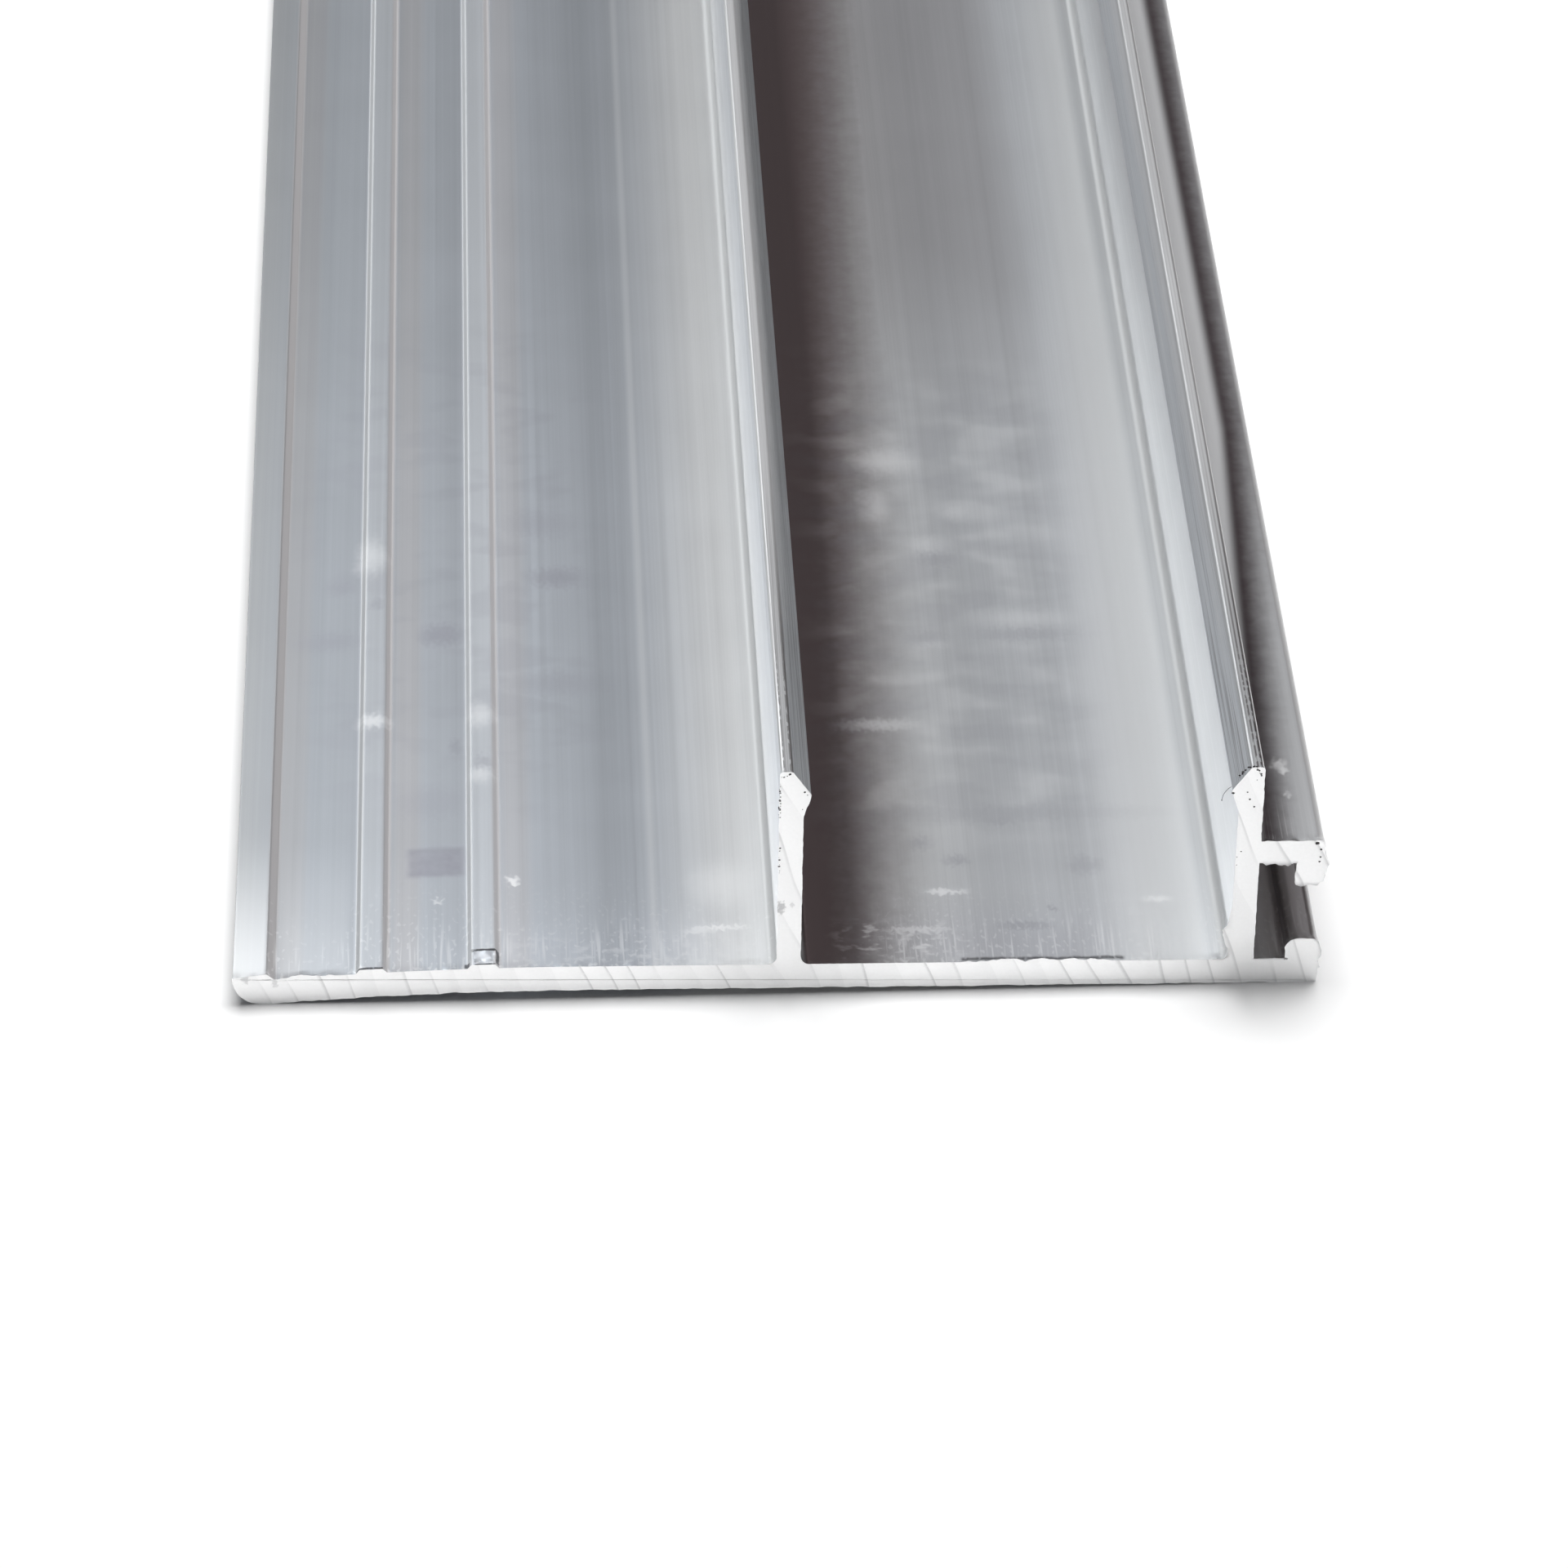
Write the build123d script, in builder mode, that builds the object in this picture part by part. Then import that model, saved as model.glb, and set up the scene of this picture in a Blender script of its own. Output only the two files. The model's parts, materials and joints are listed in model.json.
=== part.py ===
from build123d import *
from math import asin, atan2, cos, degrees, sin
import os

# An extruded aluminium cover profile, lying unheld on a level floor.
# The section is drawn level: x runs across it from the lip's edge, y up from the plate's underside.
# Sizes are in millimetres.

# The bar and the plate that carries everything else
stock_length = 1000.0
plate_thickness = 1.8

# Flange: the plate's free side, from the lip's edge to the near rib, bent down along the lip
flange_reach = 35.0
lip_sweep = 22.0
lip_drop = 1.0
lip_nose_radius = 1.8

# Bead along the lip's edge, with a sloping shoulder on its inner side
edge_bead_width = 2.2
edge_bead_height = 0.45
edge_bead_fall = 0.1
edge_bead_shoulder = 0.45

# Raised strips along the flange
strip_count = 2
strip_offset = 8.9
strip_pitch = 7.2
strip_width = 2.0
strip_height = 0.3
strip_flank = 0.25

# Two ribs face each other across the clip channel, each with a barb along its top
rib_thickness = 1.5
rib_height = 14.9
channel_width = 27.8
crown_width = 0.8
barb_reach = 0.5
barb_lead = 1.75
barb_return = 1.65
crown_radius = 0.25
barb_radius = 0.15
rib_root_radius = 0.6

# Gasket groove outside the far rib: an arm with a hook over a kerb on the plate's edge
groove_depth = 4.2
groove_height = 7.6
arm_thickness = 1.6
hook_width = 1.7
hook_drop = 1.65
kerb_width = 2.0
kerb_height = 1.55
hook_radius = 0.5
hook_heel_radius = 0.3
kerb_radius = 0.6

# No rounding takes more than this part of the wall that it rounds
rounding_limit_share = 0.45

# Places across the section
near_rib_inner = flange_reach + rib_thickness
far_rib_inner = near_rib_inner + channel_width
far_rib_outer = far_rib_inner + rib_thickness
profile_width = far_rib_outer + groove_depth
channel_middle = near_rib_inner + channel_width / 2

# Levels above the plate's underside
rib_top = plate_thickness + rib_height
barb_level = rib_top - barb_lead
kerb_top = plate_thickness + kerb_height
arm_underside = plate_thickness + groove_height
arm_top = arm_underside + arm_thickness
hook_bottom = arm_underside - hook_drop

# The flange's two faces bend about one centre below it
lip_turn = 2 * atan2(lip_drop, lip_sweep)
upper_bend_radius = lip_sweep / sin(lip_turn)
lower_bend_radius = upper_bend_radius - plate_thickness


def on_flange(distance):
    """Place on the flange's upper face, this far in from the lip's edge and turned to lie along it."""
    turn = asin(max(lip_sweep - distance, 0) / upper_bend_radius)
    height = plate_thickness - upper_bend_radius * (1 - cos(turn))
    return Location((distance, height, 0), (0, 0, degrees(turn)))


def rounding(radius, wall):
    """The radius, or as much of it as the wall takes."""
    return min(radius, wall * rounding_limit_share)


# The bead's foot and the strips' feet reach down into the plate, so that they join it all along the bend
with BuildSketch() as edge_bead:
    with BuildLine():
        Polyline(
            (0, -edge_bead_height),
            (0, edge_bead_height - edge_bead_fall),
            (edge_bead_width, edge_bead_height),
            (edge_bead_width + 2 * edge_bead_shoulder, -edge_bead_height),
            close=True,
        )
    make_face()

with BuildSketch() as raised_strip:
    with BuildLine():
        Polyline(
            (-strip_width / 2 - strip_flank, -strip_height),
            (-strip_width / 2 + strip_flank, strip_height),
            (strip_width / 2 - strip_flank, strip_height),
            (strip_width / 2 + strip_flank, -strip_height),
            close=True,
        )
    make_face()

# The rib's barb leans over the channel: a slanted lead-in above it lets a cover snap in
with BuildSketch() as near_rib:
    with BuildLine():
        Polyline(
            (flange_reach, 0),
            (flange_reach, rib_top),
            (flange_reach + crown_width, rib_top),
            (near_rib_inner + barb_reach, barb_level),
            (near_rib_inner, barb_level - barb_return),
            (near_rib_inner, 0),
            close=True,
        )
    make_face()
    crown_corners = near_rib.vertices().group_by(Axis.Y)[-1]
    fillet(crown_corners, rounding(crown_radius, crown_width))
    barb_edge = near_rib.vertices().sort_by(Axis.X)[-1]
    fillet(barb_edge, rounding(barb_radius, barb_reach))

with BuildSketch() as section:
    # Plate with its bent lip
    with BuildLine():
        upper_bend = JernArc((lip_sweep, plate_thickness), (-1, 0), upper_bend_radius, degrees(lip_turn))
        lower_bend = JernArc((lip_sweep, 0), (-1, 0), lower_bend_radius, degrees(lip_turn))
        Line(upper_bend @ 1, lower_bend @ 1)
        Polyline(
            (lip_sweep, 0),
            (profile_width, 0),
            (profile_width, plate_thickness),
            (lip_sweep, plate_thickness),
        )
    make_face()

    # Bead and strips on the flange
    with Locations(on_flange(0)):
        add(edge_bead.sketch)
    with Locations([on_flange(strip_offset + i * strip_pitch) for i in range(strip_count)]):
        add(raised_strip.sketch)

    # The two ribs are mirror images across the channel
    add(near_rib.sketch)
    mirror(near_rib.sketch, about=Plane.YZ.offset(channel_middle))

    # Arm, hook and kerb of the gasket groove
    with Locations((far_rib_outer, arm_underside)):
        Rectangle(groove_depth, arm_thickness, align=(Align.MIN, Align.MIN))
    with Locations((profile_width, arm_underside)):
        Rectangle(hook_width, hook_drop, align=(Align.MAX, Align.MAX))
    with Locations((profile_width, plate_thickness)):
        Rectangle(kerb_width, kerb_height, align=(Align.MAX, Align.MIN))

    def corner(x, y):
        """The section's corner at this place."""
        return section.vertices().sort_by_distance((x, y))[0]

    # Roundings: the lip's nose, the ribs' roots, the hook and the kerb
    lip_foot = lower_bend @ 1
    fillet(corner(lip_foot.X, lip_foot.Y), min(lip_nose_radius, plate_thickness))
    for rib_face in (flange_reach, near_rib_inner, far_rib_inner):
        fillet(corner(rib_face, plate_thickness), rib_root_radius)
    fillet(corner(profile_width, arm_top), rounding(hook_radius, arm_thickness))
    fillet(corner(profile_width, hook_bottom), rounding(hook_radius, hook_width))
    fillet(corner(profile_width - hook_width, hook_bottom), rounding(hook_heel_radius, hook_width))
    for kerb_side in (profile_width - kerb_width, profile_width):
        fillet(corner(kerb_side, kerb_top), rounding(kerb_radius, min(kerb_width, kerb_height)))

# Unheld, the bar rests on the lip's nose and on the plate's outer edge, which tilts it a little
lip_nose = section.edges().filter_by(GeomType.CIRCLE).sort_by(Axis.X)[0]
edge_to_nose = lip_nose.arc_center - Vector(profile_width, 0)
rest_tilt = asin(lip_nose.radius / edge_to_nose.length) - atan2(edge_to_nose.Y, -edge_to_nose.X)
rest_plane = Plane(
    origin=(-profile_width / 2, 0, profile_width * sin(rest_tilt)),
    x_dir=(cos(rest_tilt), 0, -sin(rest_tilt)),
    z_dir=(0, -1, 0),
)

# The bar: the section run out to both sides of its middle, with square-sawn ends
with BuildPart() as extruded_profile:
    with BuildSketch(rest_plane):
        add(section.sketch)
    extrude(amount=stock_length / 2, both=True)
extruded_profile.part.label = "extruded_profile"

os.makedirs("parts", exist_ok=True)
export_step(extruded_profile.part, "parts/extruded_profile.step")
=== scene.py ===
import json
from contextlib import contextmanager
from math import asin, atan2, ceil, cos, pi, radians, sin
from random import Random

import bmesh
import bpy
from mathutils import Matrix, Vector


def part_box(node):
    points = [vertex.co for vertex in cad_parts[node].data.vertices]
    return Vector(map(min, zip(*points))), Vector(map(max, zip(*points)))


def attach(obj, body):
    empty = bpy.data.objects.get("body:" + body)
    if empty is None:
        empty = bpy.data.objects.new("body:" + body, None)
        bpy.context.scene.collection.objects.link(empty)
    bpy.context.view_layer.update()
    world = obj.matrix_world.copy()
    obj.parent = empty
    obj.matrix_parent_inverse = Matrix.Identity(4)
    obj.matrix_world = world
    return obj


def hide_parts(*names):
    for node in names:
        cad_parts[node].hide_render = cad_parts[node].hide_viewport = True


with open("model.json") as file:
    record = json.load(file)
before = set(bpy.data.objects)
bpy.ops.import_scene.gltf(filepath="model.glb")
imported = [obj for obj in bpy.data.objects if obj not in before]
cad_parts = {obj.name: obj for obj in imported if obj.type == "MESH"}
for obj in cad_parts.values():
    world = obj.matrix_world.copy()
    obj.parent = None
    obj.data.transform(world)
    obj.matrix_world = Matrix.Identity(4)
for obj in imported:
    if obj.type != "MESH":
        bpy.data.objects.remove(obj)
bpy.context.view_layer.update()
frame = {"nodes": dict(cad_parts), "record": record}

# One bar of mill-finish aluminium lies on a pale floor, seen along its length from above one sawn end.
# Lengths are in metres unless a name says otherwise; places across the bar are measured from its lip.
MM = 0.001
BAR_NODE = "extruded_profile"
bar_low, bar_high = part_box(BAR_NODE)
SAWN_END = bar_low.y
FAR_END = bar_high.y
BAR_WIDTH_MM = 70.0
BAR_LENGTH_MM = (FAR_END - SAWN_END) / MM

# The bar rests a little tilted, on its lip and its outer edge; its flat underside gives the tilt
underside = next(m for m in frame["record"]["mounts"] if m["name"] == "underside")
REST_TILT = asin(-underside["axis"][0])

# Camera, fitted to the sawn end's outline
CAMERA_PLACE = Vector((-0.01551, -0.86379, 0.26125))
CAMERA_LENS_MM = 159.1
CAMERA_SENSOR_MM = 36.0
CAMERA_PITCH = radians(33.935)
CAMERA_TURN = radians(2.51)
CAMERA_ROLL = radians(0.234)

# Mesh work: how near points are merged, what counts as flat, which faces lie in a cut, and the noise
MERGE_DISTANCE = 1e-6
FLAT_ANGLE = radians(0.2)
CUT_FACE_NORMAL = 0.9
CUT_RIM_NORMAL = 0.7
CUT_FACE_POINTS = 1000
BAR_SMOOTHING = radians(35)
EVEN_PUSH = 0.5
NOISE_DEPTH = 2

# Sawn ends: rings of points close behind each cut carry its burr
BURR_RINGS = (0.12 * MM, 0.35 * MM, 0.9 * MM)
BURR_WEIGHTS = (0.55, 0.2, 0.0)
BURR_STEP = 0.2 * MM
MOST_CUTS = 100
BURR_RIM = 0.1 * MM
BURR_HEIGHT = 0.75 * MM
BURR_GRAIN = 0.65 * MM
BURR_LEAST = 0.25
PLAIN_BURR = 0.22
# Where the burr is at its full height: from and to across, from and to upwards, in millimetres on the cut
RAGGED_ZONES = ((66.2, 71.0, 1.2, 11.5), (63.2, 64.6, 1.5, 6.0))
# The saw also pushed up a thin ridge along parts of the plate's upper edge: from and to across
RIDGE_SPANS = ((2.9, 6.7), (47.0, 57.0))
RIDGE_HEIGHT = 0.6 * MM
RIDGE_GRAIN = 0.7 * MM
RIDGE_TOP = 3.2 * MM
RIDGE_FADE_MM = 0.8
RIDGE_NORMAL = 0.2
# And a lump out of the outer rib's foot, towards the channel: across, and from and to upwards
LUMP_ACROSS_MM = 64.2
LUMP_REACH_MM = 1.0
LUMP_NORMAL = -0.5
LUMP_SPAN_MM = (2.6, 5.2)
LUMP_HEIGHT = -1.2 * MM
LUMP_GRAIN = 0.9 * MM
PUSH_WEIGHTS = (1.0, 0.35)
PUSH_LEAST = 0.25

# A tab of metal that the saw folded back over the second strip: its middle across, the strip's top,
# its sides, and where it bends, as shares of its length
FLAKE_ACROSS_MM = 16.2
FLAKE_LEVEL_MM = 2.12
FLAKE_WIDTH = 1.4 * MM
FLAKE_LENGTH = 1.15 * MM
FLAKE_THICKNESS = 0.06 * MM
FLAKE_CURL = radians(7.0)
FLAKE_FOLDS = (0.35, 0.65, 0.85)
FLAKE_FOLD_REACH = 0.1
FLAKE_SQUARES = 10
FLAKE_ROUGHNESS = 0.12 * MM
FLAKE_GRAIN = 0.5 * MM
FLAKE_SMOOTHING = radians(40)

# A hair of metal curls off the outer rib's barb: the middle of its bend on the cut, x and z
CURL_MIDDLE_MM = (29.63, 14.25)
CURL_RADIUS = 1.3 * MM
CURL_ANGLE = radians(-56.0)
CURL_STEPS = 14
HAIR_RADIUS = 0.016 * MM
HAIR_SIDES = 8
HAIR_MERGE = 1e-7
HAIR_SMOOTHING = radians(60)

# Dark saw crumbs stick to the cut, x and z in millimetres and size; and in rows: from, to, how many
LONE_CRUMBS = (
    (1.76, 15.57, 0.16),
    (1.94, 15.35, 0.08),
    (1.62, 14.25, 0.08),
    (29.03, 14.84, 0.20),
    (29.95, 14.88, 0.12),
    (30.12, 14.33, 0.14),
    (30.42, 13.75, 0.14),
    (30.52, 15.80, 0.07),
    (29.72, 10.31, 0.11),
    (29.46, 9.89, 0.10),
    (29.45, 9.28, 0.10),
    (28.32, 14.32, 0.09),
    (34.60, 10.85, 0.30),
    (34.86, 10.35, 0.16),
    (34.84, 9.76, 0.14),
    (34.80, 9.40, 0.16),
    (32.99, 9.28, 0.16),
)
CRUMB_ROWS = (
    ((0.30, 16.72), (0.95, 17.02), 7),
    ((0.20, 16.05), (0.17, 13.45), 22),
    ((0.17, 11.50), (0.18, 9.20), 9),
    ((29.35, 16.05), (29.85, 16.70), 8),
    ((29.85, 16.72), (30.50, 16.86), 6),
    ((30.45, 16.70), (30.85, 16.10), 8),
)
CRUMB_SIZE_MM = (0.05, 0.17)
CRUMB_SPREAD_MM = 0.05
CRUMB_SEED = 7
# The crumb that is copied is 1 mm wide before it is roughened; the copies are flattened against the cut
CRUMB_RADIUS = 0.5 * MM
CRUMB_ROUGHNESS = 0.6 * MM
CRUMB_GRAIN = 0.4 * MM
CRUMB_FLATNESS = 0.6
CRUMB_HEIGHTS = (0.6, 1.0)

# Long edges come off the die slightly rounded
DIE_EDGE_RADIUS = 0.05 * MM
SHARP_EDGE_ANGLE = radians(25)

# Light: a long soft lamp on the left for the metal, a lamp overhead for the floor, a dim white room
ROOM_TINT = (0.97, 0.985, 1.0)
ROOM_LEVEL = 0.8
ROOM_BACK_LOSS = 0.25
ROOM_BACK = (0.3, 0.9)
ROOM_FILL = 0.12
LAMP_TINT = (0.96, 0.985, 1.0)
LAMP_GLOW = 4.4
LAMP_LEAN = radians(24.0)
LAMP_REACH = 1.0
LAMP_WIDTH = 0.42
LAMP_LENGTH = 1.3
LAMP_AHEAD = 0.15
FLOOR_LAMP_TINT = (1.0, 1.0, 1.0)
FLOOR_LAMP_GLOW = 6.3
FLOOR_LAMP_HEIGHT = 1.2
FLOOR_LAMP_SIDE = 1.2
FLOOR_LAMP_ACROSS = 0.15
FLOOR_LAMP_AHEAD = 0.12
# A dark brown card arches over the right-hand side; only the metal's reflections see it
CARD_RADIUS = 0.8
CARD_LENGTH = 6.0
CARD_SIDES = 256
CARD_EDGE = radians(-12.0)
CARD_END = radians(88.5)
CARD_TINT = (0.04, 0.03, 0.029)
CARD_STRIP = (radians(8.0), radians(26.0))
CARD_STRIP_SOFT = 0.05
CARD_STRIP_TINT = (0.7, 0.71, 0.73)
# The floor glows a little by itself, more with distance from the bar; then a plain white takes over
FLOOR_SIDE = 14.0
FLOOR_TONE = 0.93
FLOOR_GLOW = 0.45
FLOOR_GLOW_REACH = 0.35
FLOOR_GLOW_POWER = 0.5
FLOOR_WHITE = 1.0
FLOOR_WHITE_FROM = (0.02, 0.07)

# Metal
MILL_TINT = (0.90, 0.905, 0.91)
COOL_TINT = (0.94, 0.985, 1.05)
MILL_ROUGHNESS = 0.42
SMUDGE_TINT = (0.34, 0.335, 0.385)
PAINTED_SHADE_TINT = (0.165, 0.12, 0.12)
ARM_SHADE_TINT = (0.1, 0.077, 0.081)
# Pale tint for scuffs and for painted light
SCUFF_AND_LIGHT_TINT = (0.93, 0.935, 0.935)
WARM_TINT = (1.0, 0.955, 0.925)
CRUMB_TINT = (0.035, 0.032, 0.034)
CRUMB_DUST_TINT = (0.12, 0.115, 0.115)
CUT_TINT = (0.95, 0.95, 0.95)
CUT_LINE_TINT = (0.42, 0.42, 0.43)
FLANK_SHADE_TINT = (0.43, 0.415, 0.42)
FLANK_LIGHT_TINT = (0.52, 0.535, 0.55)
ROOT_LIGHT_TINT = (0.66, 0.675, 0.68)
PAINTED_LIGHT_DULLNESS = 0.92
EDGE_TINT = (0.5, 0.5, 0.51)
EDGE_DULLNESS = 0.75
SAW_SHADOW_TINT = (0.05, 0.05, 0.055)
SLOPE_TINT = (0.86, 0.89, 0.93)
FLANK_DULLNESS = 0.8
SCUFF_DULLNESS = 0.5
CREST_SHADE_TINT = (0.5, 0.51, 0.52)
CROWN_TINT = (0.11, 0.09, 0.095)
# Brightness across the bar: millimetres from the lip and a share of full brightness; partly the metal's own
# uneven tone, partly painted light and shade for how the light falls across the section
TONE_AND_PAINTED_LIGHT = (
    (0.0, 0.43),
    (2.2, 0.43),
    (3.0, 0.54),
    (8.0, 0.58),
    (11.0, 0.66),
    (14.5, 0.69),
    (18.0, 0.88),
    (21.0, 0.80),
    (24.0, 0.68),
    (27.0, 0.78),
    (30.0, 0.88),
    (32.5, 1.00),
    (34.6, 0.90),
    (36.5, 0.90),
    (44.0, 0.86),
    (52.0, 0.86),
    (56.0, 0.93),
    (59.0, 1.00),
    (62.5, 1.00),
    (63.9, 0.80),
    (65.5, 0.84),
    (70.0, 1.00),
)
# And along it, from the cut: painted light, brighter at the cut end and dimmer further back as the light
# falls off along the bar
PAINTED_FALLOFF = ((0.0, 1.0), (6.0, 0.93), (16.0, 0.87), (60.0, 0.84), (95.0, 0.76), (140.0, 0.74))
ALONG_REACH_MM = 140.0

# Bands that run the bar's whole length, in millimetres: from and to across, softness, depth
# Painted shade: brown-grey on the right-hand flanks of the bead and strips, which face away from the light
FLANK_PAINTED_SHADE = ((2.15, 2.75, 0.18, 0.9), (9.62, 10.08, 0.14, 0.85), (16.82, 17.28, 0.14, 0.85))
# Painted light: a dull pale tone on the strips' left-hand flanks, which face the light
FLANK_PAINTED_LIGHT = ((7.86, 8.24, 0.08, 0.85), (15.06, 15.44, 0.08, 0.85))
# Painted light: a dull pale tone on the ribs' roots in place of their reflection
ROOT_PAINTED_LIGHT = ((34.4, 35.1, 0.12, 0.9), (63.75, 64.4, 0.12, 0.95))
WARM_BANDS = ((2.7, 4.4, 0.4, 0.8), (10.2, 12.0, 0.5, 0.9), (17.4, 19.2, 0.5, 0.9))
# The band at 33 mm, beside the middle rib, is painted light from the rib's lit face
PALE_BANDS = (
    (7.95, 9.6, 0.1, 0.14),
    (15.15, 16.8, 0.1, 0.22),
    (27.0, 27.45, 0.2, 0.25),
    (33.0, 33.6, 0.3, 0.20),
)
# Painted shade along the ribs' crests, over their highlight, and dotted lines along the crowns, in the same
# way
CREST_PAINTED_SHADE = ((35.12, 35.32, 0.06, 0.5), (65.05, 65.35, 0.07, 0.6))
CROWN_LINES = (
    (35.42, 35.52, 0.04, 0.5),
    (35.84, 35.94, 0.04, 0.6),
    (65.50, 65.62, 0.05, 0.8),
    (65.74, 65.86, 0.05, 0.8),
)
# Dull, pale films on the crowns, in the same way
CROWN_FILM = ((35.35, 36.4, 0.25, 0.5), (64.7, 65.9, 0.2, 0.5))

# Soft marks on the plate's upper face, in millimetres: middle across and behind the cut, half width and
# half length, depth
DARK_MARKS = (
    (12.7, 19.3, 2.2, 1.7, 0.24),
    (5.7, 39.7, 1.9, 1.0, 0.34),
    (6.4, 46.6, 1.0, 0.9, 0.34),
    (13.5, 39.9, 1.3, 1.2, 0.60),
    (21.5, 47.0, 1.7, 1.1, 0.50),
    (20.5, 54.1, 2.0, 1.6, 0.28),
    (21.3, 33.4, 3.0, 1.3, 0.24),
    (14.4, 25.9, 0.4, 0.8, 0.34),
    (9.0, 43.9, 0.55, 0.65, 0.34),
    (16.2, 23.5, 0.55, 0.8, 0.34),
    (48.0, 49.0, 1.5, 1.0, 0.26),
    (46.9, 38.7, 1.2, 0.9, 0.22),
    (54.1, 39.1, 3.2, 0.7, 0.20),
    (45.0, 13.7, 0.7, 0.6, 0.30),
    (47.3, 11.6, 0.7, 0.5, 0.34),
    (50.4, 16.3, 0.8, 0.5, 0.24),
    (53.4, 5.9, 0.35, 0.4, 0.34),
    (55.7, 10.9, 1.0, 1.0, 0.24),
    (51.4, 4.0, 2.2, 0.6, 0.40),
    (49.5, 17.1, 8.0, 0.9, 0.16),
)
PALE_MARKS = (
    (31.9, 9.0, 1.7, 2.0, 0.32),
    (8.5, 50.0, 0.85, 1.9, 0.32),
    (8.8, 29.1, 0.85, 0.7, 0.45),
    (16.1, 29.3, 0.65, 1.3, 0.34),
    (16.1, 22.0, 0.65, 0.8, 0.32),
    (43.3, 27.9, 2.2, 0.6, 0.28),
    (45.2, 62.4, 1.9, 1.7, 0.30),
    (44.3, 56.2, 0.9, 2.0, 0.26),
    (50.1, 55.4, 1.0, 1.1, 0.20),
    (47.8, 50.9, 1.4, 1.0, 0.18),
    (53.6, 41.2, 2.8, 1.0, 0.16),
)
# Crisper scratches, in the same way
SCRATCHES = (
    (30.1, 3.85, 1.1, 0.32, 0.35),
    (31.9, 4.2, 1.5, 0.22, 0.70),
    (18.1, 9.85, 0.42, 0.5, 0.70),
    (13.1, 7.7, 0.42, 0.28, 0.42),
    (44.3, 3.7, 2.1, 0.32, 0.30),
    (46.5, 8.0, 1.3, 0.3, 0.40),
    (60.3, 6.95, 0.85, 0.22, 0.45),
)
# Blotches on the arm's upper face
ARM_BLOTCHES = (
    (67.95, 8.9, 0.35, 0.5, 0.45),
    (68.2, 8.2, 0.3, 0.35, 0.5),
    (68.1, 5.4, 0.2, 0.25, 0.35),
)
SOFT_MARK = 0.9
CRISP_MARK = 0.55
# A dark patch with straight sides, and painted shadow lines behind the folded tab, at the strips' ends and
# behind the saw's ridge: from and to across, from and to behind the cut, softness, depth
DARK_PATCHES = ((11.2, 14.9, 10.6, 13.9, 0.35, 0.75),)
SAW_SHADOW_LINES = (
    (15.4, 17.0, 1.5, 1.8, 0.07, 0.9),
    (16.9, 17.08, 0.15, 1.7, 0.06, 0.85),
    (14.9, 15.25, 0.0, 0.45, 0.08, 0.9),
    (8.0, 9.7, 0.0, 0.22, 0.06, 0.9),
    (47.0, 57.5, 0.15, 0.5, 0.15, 0.75),
)

# Noise in the metal: grain across and along in millimetres, then octaves and their roughness
FRAY_NOISE = (1.5, 1.5, 2.0, 0.65)
FLECK_NOISE = (0.3, 0.5)
HAIR_NOISE = (0.12, 90.0)
FINE_NOISE = (0.5, 200.0)
BAND_NOISE = (3.5, 400.0)
CLOUD_NOISE = (8.0, 12.0, 2.0, 0.55)
SMEAR_NOISE = (5.0, 3.2, 2.0, 0.45)
STREAK_NOISE = (0.09, 25.0, 2.0)
DOT_NOISE = (0.25, 0.6)
SCRAPE_NOISE = (0.16, 5.0)
SCRIBBLE_NOISE = (1.1, 0.7, 2.0)
# How far it frays the edges of marks, and how much it changes brightness, roughness and relief
MARK_FRAY_MM = (1.1, 0.9)
PATCH_FRAY_MM = 0.3
FOOT_FRAY_MM = 1.2
ARM_FRAY_MM = 0.5
BAND_LEAST = 0.75
BAND_SWING = 0.5
BAND_SHADE = 0.12
CLOUD_SHADE = 0.10
FINE_SHADE = 0.10
HAIR_SHADE = 0.08
BAND_ROUGHNESS = 0.05
HAIR_ROUGHNESS = 0.04
SMUDGE_ROUGHNESS = 0.06
DIE_LINE_BUMP = 0.35
BUMP_DEPTH = 0.01 * MM
PATCH_TONE = 0.85
PATCH_MOTTLE = 0.7

# Soft zones in millimetres. A span has from, to, softness and depth; a step has its start, its end and its
# depth, and runs downwards where its start is the greater; without a depth it is full. Names that end in
# LIMITS, STREAKS, DARK or PALE are steps on noise from 0 to 1
PLATE_LEVEL = (1.25, 3.35, 0.15)
CROWN_LEVEL = (14.6, 14.9)
ARM_LEVEL = (9.5, 10.2)
ARM_START = (65.95, 66.1)
COOL_ZONES = ((1.0, 29.0, 4.0, 1.0), (47.0, 63.0, 4.0, 0.35))
# Painted light: pale bands on the plate beside the middle rib further back and in the channel before the
# outer rib, lit from the ribs' left faces
FAR_LIGHT = (31.8, 34.4, 1.0, 0.3)
FAR_LIGHT_FROM = (45.0, 90.0)
CHANNEL_LIGHT_LEAN = 0.026
CHANNEL_LIGHT_START = (55.0, 60.0)
CHANNEL_LIGHT_END = (63.4, 62.4, 0.75)
NEAR_CUT = (50.0, 12.0)
FAR_LINE_SHARE = 0.25
DOT_LIMITS = (0.36, 0.5)
DOTS_END = (8.0, 16.0)
DARK_STREAKS = (0.5, 0.34, 0.4)
PALE_STREAKS = (0.54, 0.7, 0.4)
OUTER_SLOPE = (63.6, 65.1, 0.15, 0.75)
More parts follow.
